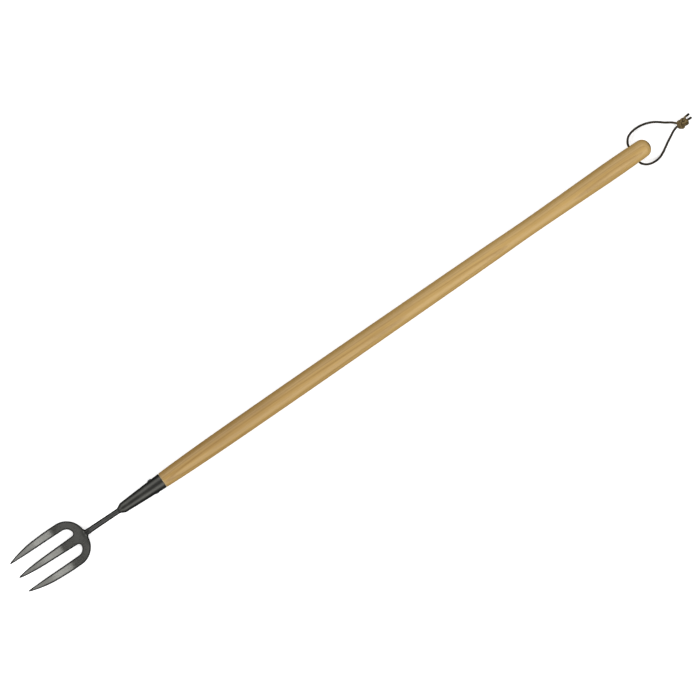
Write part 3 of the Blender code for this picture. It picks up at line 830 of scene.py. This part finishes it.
def weld_ring(name, start, direction, shape):
    """A closed ring of weld about a line: shape gives (along, inside radius, outside radius)."""
    angles = round_angles(WELD_SIDES)
    across = Vector((0.0, 1.0, 0.0))
    up = direction.cross(across)
    outside, inside = [], []
    for along, inner, outer in shape:
        place = np.array(start + direction * along)
        spokes = np.outer(np.cos(angles), across) + np.outer(np.sin(angles), up)
        wave = rippled(angles, along, RIPPLE_SHARE * (outer - inner))
        outside.append(place + spokes * (outer - wave)[:, None])
        inside.append(place + spokes * inner)
    rings = [*outside, *reversed(inside)]
    return rings_mesh(name, rings, WELD_SIDES, closed=True, sharp_angle=60.0)


def head_weld(finish):
    """A low bead round the joint of the rod and the plate's root."""
    direction = Vector((math.cos(HEEL_ANGLE), 0.0, math.sin(HEEL_ANGLE)))
    heel = Vector((HEEL_X, 0.0, float(head_height(HEAD_LENGTH))))
    inner = NECK_RADIUS + HEAD_WELD_GAP
    shape = []
    for along in np.linspace(-HEAD_WELD_HALF_LENGTH, HEAD_WELD_HALF_LENGTH, 29):
        swell = HEAD_WELD_SWELL * math.sqrt(1 - (along / HEAD_WELD_ROUND) ** 2)
        shape.append((along, inner, inner + HEAD_WELD_EDGE + swell))
    mesh = weld_ring("head_weld_bead", heel, direction, shape)
    lean_neck(mesh)
    return add_piece("head_weld_bead", mesh, [finish], TOOL, ["head_weld"])


def socket_weld(finish):
    """A fillet of weld in the corner between the rod and the socket's nose."""
    start = Vector((SOCKET_END_X - SOCKET_WELD_LENGTH, 0.0, AXIS_Z))
    inner = NECK_RADIUS + SOCKET_WELD_GAP
    shape = []
    for along in np.linspace(0.0, SOCKET_WELD_LENGTH, 13):
        rise = (SOCKET_NOSE_RADIUS - NECK_RADIUS) * (along / SOCKET_WELD_LENGTH) ** SOCKET_WELD_CURVE
        shape.append((along, inner, inner + SOCKET_WELD_EDGE + rise))
    mesh = weld_ring("socket_weld_bead", start, Vector((1.0, 0.0, 0.0)), shape)
    return add_piece("socket_weld_bead", mesh, [finish], TOOL, ["socket_weld"])


# Socket and rivet


def socket_radius(x):
    """Outside radius of the socket: a short cone at its nose, then a long slight taper."""
    run = x - SOCKET_END_X - SOCKET_SHOULDER_LENGTH
    cone = SOCKET_SHOULDER_RADIUS
    cone += (SOCKET_SHOULDER_RADIUS - SOCKET_NOSE_RADIUS) * run / SOCKET_SHOULDER_LENGTH
    taper = SOCKET_SHOULDER_RADIUS
    taper += (SOCKET_MOUTH_RADIUS - SOCKET_SHOULDER_RADIUS) * run / (MOUTH_X - SOCKET_END_X)
    return float((cone + taper - math.hypot(cone - taper, SOCKET_SHOULDER_SOFTNESS)) / 2)


def cross_cylinder(name, x, profile, sides=48):
    """A solid turned about a line across the handle, from (radius, y) points."""
    angles = round_angles(sides)
    rings = [np.array([[x, profile[0][1], AXIS_Z]])]
    for radius, y in profile:
        ring = np.empty((sides, 3))
        ring[:, 0] = x + radius * np.cos(angles)
        ring[:, 1] = y
        ring[:, 2] = AXIS_Z + radius * np.sin(angles)
        rings.append(ring)
    rings.append(np.array([[x, profile[-1][1], AXIS_Z]]))
    return rings_mesh(name, rings, sides)


def rivet_space(name):
    """A cylinder across the handle's axis, for the rivet's hole."""
    radius = RIVET_SHANK_RADIUS + GAP
    return cross_cylinder(name, RIVET_X, [(radius, -CUT_REACH), (radius, CUT_REACH)])


def socket(finish):
    """A tapered tube with a rounded rim, hollow for the handle's spigot and pierced for the rivet."""
    nose = np.linspace(SOCKET_END_X, SOCKET_END_X + SOCKET_FINE_LENGTH, 22)
    taper = np.linspace(SOCKET_END_X + SOCKET_TAPER_START, MOUTH_X - RIM_ROUNDING, 18)
    outside = [(x, socket_radius(x)) for x in (*nose, *taper)]
    rim_radius = socket_radius(MOUTH_X)
    rim = []
    for step in range(1, RIM_STEPS + 1):
        angle = math.pi / 2 * step / RIM_STEPS
        rim.append((MOUTH_X - RIM_ROUNDING * (1 - math.sin(angle)),
                    rim_radius - RIM_ROUNDING * (1 - math.cos(angle))))  # fmt: skip
    cavity_start = MOUTH_X - SPIGOT_LENGTH - 4 * GAP
    inside = [
        (MOUTH_X, rim_radius - SOCKET_WALL + RIM_BEVEL),
        (MOUTH_X - RIM_BEVEL, rim_radius - SOCKET_WALL),
        (cavity_start, socket_radius(cavity_start) - SOCKET_WALL),
        (cavity_start, NECK_RADIUS + GAP / 3),
        (SOCKET_END_X, NECK_RADIUS + GAP / 3),
    ]
    rings = turned_rings([*outside, *rim, *inside], SOCKET_SIDES)
    mesh = rings_mesh("socket_shell", rings, SOCKET_SIDES, closed=True)
    mesh = cut_mesh(mesh, [rivet_space("socket_rivet_space")])
    return add_piece("socket_shell", mesh, [finish], TOOL, ["socket"])


def on_socket(offset_x, offset_z):
    """How far out the socket's side is, at a place near the rivet."""
    radius = np.array([socket_radius(RIVET_X + x) for x in offset_x])
    return np.sqrt(radius**2 - offset_z**2)


def rivet_ring(radius, proud, side):
    """One ring of a rivet head, this far proud of the socket's side."""
    angles = round_angles(RIVET_SIDES)
    offset_x = radius * np.cos(angles)
    offset_z = radius * np.sin(angles)
    y = side * (on_socket(offset_x, offset_z) + proud)
    return np.stack([RIVET_X + offset_x, y, AXIS_Z + offset_z], axis=1)


def rivet_rings(radius, height, side):
    """Rings of one formed rivet head, from its crown to its rim and in to the shank."""
    rings = [np.array([[RIVET_X, side * (socket_radius(RIVET_X) + height), AXIS_Z]])]
    for share in RIVET_SHARES:
        dome = RIVET_RIM + (1 - RIVET_RIM) * math.sqrt(1 - share**2)
        rings.append(rivet_ring(radius * share, height * dome, side))
    rings.append(rivet_ring(radius, RIVET_LIFT, side))
    rings.append(rivet_ring(RIVET_SHANK_RADIUS, RIVET_LIFT, side))
    return rings


def socket_rivet(finish):
    """A rivet with a tall head on the left side and a flatter one on the right."""
    rings = rivet_rings(*RIVET_HEAD, 1)
    rings += reversed(rivet_rings(*RIVET_TAIL, -1))
    mesh = rings_mesh("rivet_formed", rings, RIVET_SIDES)
    return add_piece("rivet_formed", mesh, [finish], TOOL, ["socket_rivet"])


# Handle


def handle_profile():
    """(x, radius) from the spigot's end, over the chamfer and the grip, to the butt."""
    spigot_radius = socket_radius(MOUTH_X) - SOCKET_WALL - GAP
    nose_radius = socket_radius(MOUTH_X - SPIGOT_LENGTH) - SOCKET_WALL - GAP
    start = MOUTH_X + GAP
    profile = [
        (MOUTH_X - SPIGOT_LENGTH, 0.0),
        (MOUTH_X - SPIGOT_LENGTH, nose_radius - SPIGOT_CHAMFER),
        (MOUTH_X - SPIGOT_LENGTH + SPIGOT_CHAMFER, nose_radius),
        (start, spigot_radius),
        (start, HANDLE_START_RADIUS - MOUTH_CHAMFER),
        (start + MOUTH_CHAMFER, HANDLE_START_RADIUS),
    ]
    body = [(start + MOUTH_CHAMFER, HANDLE_START_RADIUS, 0.0)]
    body += [(MOUTH_X + run, radius, 0.0) for run, radius in HANDLE_PROFILE]
    side = smooth_line(body, CURVE_STEPS)
    profile += [(x, radius) for x, radius, _ in spaced(side, HANDLE_STEP)[1:-3]]
    fine_start = profile[-1][0] + HANDLE_FINE_GAP
    profile += [(x, radius) for x, radius, _ in spaced(side, HANDLE_FINE_STEP) if x > fine_start]
    dome_x, dome_radius = MOUTH_X + HANDLE_PROFILE[-1][0], HANDLE_PROFILE[-1][1]
    for step in range(1, DOME_STEPS + 1):
        angle = math.pi / 2 * step / DOME_STEPS
        profile.append((dome_x + (BUTT_X - dome_x) * math.sin(angle), dome_radius * math.cos(angle)))
    profile[-1] = (BUTT_X, 0.0)
    return profile


def lace_space():
    """The lace hole with both of its mouths flared open."""
    flare_start = HANDLE_RADIUS_AT_HOLE - HOLE_FLARE
    flare = []
    for step in range(FLARE_STEPS + 1):
        angle = math.pi / 2 * step / FLARE_STEPS
        radius = HOLE_RADIUS + HOLE_FLARE * (1 - math.cos(angle))
        flare.append((radius, flare_start + HOLE_FLARE * math.sin(angle)))
    flare.append((flare[-1][0], HANDLE_RADIUS_AT_HOLE + FLARE_REACH))
    profile = [(radius, -y) for radius, y in reversed(flare)] + flare
    return cross_cylinder("lace_space", HOLE_X, profile)


def handle(finishes):
    """The turned shaft with its two cross holes, and end grain on the chamfer at the socket."""
    mesh = rings_mesh("ash_handle", turned_rings(handle_profile(), HANDLE_SIDES), HANDLE_SIDES)
    mesh = cut_mesh(mesh, [rivet_space("handle_rivet_space"), lace_space()])
    mesh.shade_smooth()
    mesh.set_sharp_from_angle(angle=math.radians(HANDLE_SHARP_ANGLE))
    piece = add_piece("ash_handle", mesh, finishes, TOOL, ["handle"])
    for face in mesh.polygons:
        face.material_index = int(MOUTH_X < face.center.x < MOUTH_X + GAP + MOUTH_CHAMFER * 0.9)
    return piece


# Lace


def open_overhand():
    """A loose overhand knot as a curve a few units across, its two ends lying along X."""
    t = np.linspace(-2.15, 2.15, 400)
    across, side, deep = t**3 - 3 * t, t**4 - 4 * t**2, (t**5 - 10 * t) / 5
    pull = math.atan2(deep[-1], across[-1])
    along = across * math.cos(pull) + deep * math.sin(pull)
    up = side
    side = across * math.sin(pull) - deep * math.cos(pull)
    cosine = math.cos(KNOT_TURN)
    sine = math.sin(KNOT_TURN)
    turned = np.stack([-side, -up], axis=1) @ np.array([[cosine, sine], [-sine, cosine]])
    return np.column_stack([along, turned])


def loose_strands():
    """Both strands side by side through the loose knot, none of it below the ground."""
    line = open_overhand() * KNOT_LOOSE_SIZE
    run = np.linalg.norm(np.diff(line, axis=0), axis=1).sum()
    line = spaced(line, run / (KNOT_POINTS - 1))
    offset = line_frames(line)[0] * KNOT_PAIR_GAP * LACE_RADIUS
    strands = np.stack([line + offset, line - offset])
    strands += KNOT_CENTRE - strands.mean(axis=(0, 1))
    strands[..., 2] += max(LACE_RADIUS - strands[..., 2].min(), 0.0)
    return strands if strands[0, 0, 1] > strands[1, 0, 1] else strands[::-1]


def held_ends():
    """Where the first and last points of the left and of the right strand are drawn to."""
    ends = np.array([LEFT_LEG[-1], LEFT_TAIL_END, RIGHT_LEG[-1], RIGHT_TAIL_END])
    ends[1::2] += TAIL_PULL
    return ends


def with_tail(strand, end):
    """The strand up to where it has left the knot, then a short tail that drops to its end."""
    inside = strand[: np.flatnonzero(strand[:, 0] < TAIL_START_X)[-1] + 1]
    return np.vstack([inside, (inside[-1] + end) / 2 + (0.0, 0.0, TAIL_HUMP), end])


def keep_length(points, strand, held, rest):
    """Moves neighbours on a strand to their resting distance, every other pair at a time."""
    for first in (0, 1):
        i = np.arange(first, len(points) - 1, 2)
        i = i[strand[i] == strand[i + 1]]
        gap = points[i + 1] - points[i]
        size = np.linalg.norm(gap, axis=1)
        move = gap * ((size - rest) / size / 2)[:, None]
        points[i] += move * (~held[i])[:, None]
        points[i + 1] -= move * (~held[i + 1])[:, None]


def push_apart(points, pairs, held):
    """Moves points that are closer than one lace width away from each other."""
    first, second = pairs
    gap = points[second] - points[first]
    near = (gap * gap).sum(1) < (2 * LACE_RADIUS) ** 2
    first, second, gap = first[near], second[near], gap[near]
    size = np.linalg.norm(gap, axis=1) + 1e-12
    move = gap * ((2 * LACE_RADIUS - size) / size / 2)[:, None]
    push, hits = np.zeros_like(points), np.zeros(len(points))
    for index, sign in ((first, -1), (second, 1)):
        np.add.at(push, index, sign * move)
        np.add.at(hits, index, 1)
    push /= np.maximum(1.0, hits / 2)[:, None]
    push[held] = 0.0
    points += push


def tight_strands():
    """The two strands of the knot after its ends are drawn to their places and it is pulled tight."""
    strands = loose_strands()
    count = KNOT_POINTS
    begin_rest = np.linalg.norm(np.diff(strands[0], axis=0), axis=1).mean()
    points = np.concatenate(strands)
    strand = np.repeat([0, 1], count)
    held = np.isin(np.arange(2 * count) % count, (0, count - 1))
    begin, end = points[held].copy(), held_ends()
    first, second = np.triu_indices(2 * count, 1)
    for turn in range(KNOT_ROUNDS):
        drawn = float(smoothstep(turn / KNOT_ROUNDS, 0.0, KNOT_DRAWN_BY))
        tightened = min(max((turn / KNOT_ROUNDS - KNOT_TIGHTENED[0]) / KNOT_TIGHTENED[1], 0.0), 1.0)
        rest = begin_rest + (KNOT_STRAND_LENGTH / (count - 1) - begin_rest) * tightened
        points[held] = begin + (end - begin) * drawn
        bent = points.copy()
        bent[1:-1] += KNOT_SMOOTHING * ((points[:-2] + points[2:]) / 2 - points[1:-1])
        bent[held] = points[held]
        points = bent
        for _ in range(LENGTH_PASSES):
            keep_length(points, strand, held, rest)
        self_gap = math.ceil(KNOT_SELF_GAP * LACE_RADIUS / rest)
        apart = (strand[first] != strand[second]) | (second - first > self_gap)
        for _ in range(PUSH_PASSES):
            push_apart(points, (first[apart], second[apart]), held)
        lid = KNOT_LID[0] + (KNOT_LID[1] - KNOT_LID[0]) * tightened
        points[:, 2] = np.clip(points[:, 2], LACE_RADIUS + 0.0001, lid)
    points[held] = end
    place = np.arange(2 * count) % count
    points += np.outer(smoothstep(place, *KNOT_NUDGE_POINTS), KNOT_NUDGE)
    return with_tail(points[:count], LEFT_TAIL_END), with_tail(points[count:], RIGHT_TAIL_END)


def eased(route, knot_start):
    """The route with its turn from leg to knot, and its tail, relaxed into wide curves."""
    route = route.copy()
    place = np.arange(len(route))
    reach = EASED_REACH / LACE_STEP
    near_leg = 1 - smoothstep(np.abs(place - knot_start) / reach, *EASED_LEG)
    near_end = 1 - smoothstep((len(route) - place) / reach, *EASED_END)
    share = EASED_SHARE * np.maximum(near_leg, near_end)[1:-1, None]
    for _ in range(EASED_ROUNDS):
        route[1:-1] += share * ((route[:-2] + route[2:]) / 2 - route[1:-1])
    return route


def lace(finish):
    """Two cords that meet in the hole, each of them a leg, its way through the knot and a tail."""
    names = ("lace_left", "lace_right")
    replaced = ["lace_loop", "lace_knot", "lace_tail_left", "lace_tail_right"]
    for name, leg, strand, side in zip(names, (LEFT_LEG, RIGHT_LEG), tight_strands(), (1, -1)):
        route = spaced(smooth_line([*leg[:-1], *strand], LACE_CURVE_STEPS), LACE_STEP)
        knot_start = len(spaced(smooth_line(leg, LACE_CURVE_STEPS), LACE_STEP))
        route = eased(route, knot_start)
        mesh = rings_mesh(name, swept_rings(route, LACE_RADIUS, LACE_SIDES), LACE_SIDES)
        piece = add_piece(name, mesh, [finish], LACE, replaced)
        length = float(np.linalg.norm(np.diff(route, axis=0), axis=1).sum())


# Studio


def floor():
    """A pale floor that the object neither reflects nor gets bounced light from."""
    mesh = bpy.data.meshes.new("floor")
    half = FLOOR_HALF_SIZE
    corners = [(-half, -half, 0.0), (half, -half, 0.0), (half, half, 0.0), (-half, half, 0.0)]
    mesh.from_pydata(corners, [], [(0, 1, 2, 3)])
    made, nodes, shader = new_material("floor")
    feed(nodes, shader, Base_Color=(0.9, 0.9, 0.9, 1.0), Roughness=0.9, Specular_IOR_Level=0.0)
    feed(nodes, shader, Emission_Color=(1.0, 1.0, 1.0, 1.0), Emission_Strength=0.42)
    mesh.materials.append(made)
    obj = new_object("floor", mesh)
    obj.location.z = -FLOOR_GAP
    obj.visible_diffuse = False
    obj.visible_glossy = False


def studio_dome():
    """A dim dome with a long bright panel down each side of the tool."""
    world = bpy.data.worlds.new("studio_dome")
    bpy.context.scene.world = world
    world.use_nodes = True
    nodes = Nodes(world.node_tree)
    direction = nodes.add("ShaderNodeTexCoord", {}, output="Generated")
    axes = nodes.tree.nodes.new("ShaderNodeSeparateXYZ")
    nodes.tree.links.new(direction, axes.inputs[0])
    _, y, z = axes.outputs
    lean = nodes.math("ARCTAN2", nodes.math("ABSOLUTE", y), z)
    panel = nodes.math(
        "MULTIPLY",
        nodes.ramp(lean, math.radians(24), math.radians(36)),
        nodes.ramp(lean, math.radians(78), math.radians(64)),
    )
    stronger_right = nodes.ramp(y, 0.3, -0.3, 0.92, 1.10)
    base = nodes.ramp(z, 0.0, 0.2, 0.015, 0.21)
    strength = nodes.sum(base, (2.55, nodes.math("MULTIPLY", panel, stronger_right)))
    nodes.tree.links.new(strength, world.node_tree.nodes["Background"].inputs["Strength"])
    world.node_tree.nodes["Background"].inputs["Color"].default_value = (1.0, 1.0, 1.0, 1.0)


def head_light(name, lit, lean_to_butt, width, strength):
    """A far round light on the fork head alone, leaning from overhead towards the butt, in degrees."""
    lamp = bpy.data.lights.new(name, "SUN")
    lamp.energy = strength
    lamp.angle = math.radians(width)
    obj = new_object(name, lamp)
    obj.rotation_euler = (0.0, math.radians(lean_to_butt), 0.0)
    obj.light_linking.receiver_collection = lit


def camera():
    lens = bpy.data.cameras.new("camera")
    lens.lens = CAMERA_LENS
    lens.sensor_width = CAMERA_SENSOR
    lens.clip_end = 100.0
    obj = new_object("camera", lens)
    obj.location = (*CAMERA_CENTRE, AXIS_Z + CAMERA_VIEW * CAMERA_LENS / CAMERA_SENSOR)
    obj.rotation_euler = (0.0, 0.0, CAMERA_TURN)
    bpy.context.scene.camera = obj


def main():
    bpy.context.scene.view_settings.view_transform = "Standard"
    camera()
    lace(lace_leather())
    head = fork_head(steel("head_steel", (0.068, 0.068, 0.0625), (0.096, 0.096, 0.0895), 0.28, 0.9, 0.25))
    neck_rod(steel("rod_steel", (0.048, 0.048, 0.0465), (0.072, 0.072, 0.0695), 0.34, 0.9, 0.2))
    weld = weld_metal()
    head_weld(weld)
    socket_weld(weld)
    socket(steel("socket_steel", (0.044, 0.044, 0.040), (0.064, 0.064, 0.058), 0.38, 0.85, 0.1))
    socket_rivet(steel("rivet_steel", (0.06, 0.06, 0.057), (0.10, 0.10, 0.095), 0.34, 0.9, 0.0))
    handle([ash_wood(), end_grain()])
    floor()
    studio_dome()
    lit = bpy.data.collections.new("lit_by_head_lights")
    lit.objects.link(head)
    head_light("band_light", lit, 3.5, 15.0, 0.46)
    head_light("tip_light", lit, 25.5, 25.0, 0.45)


main()
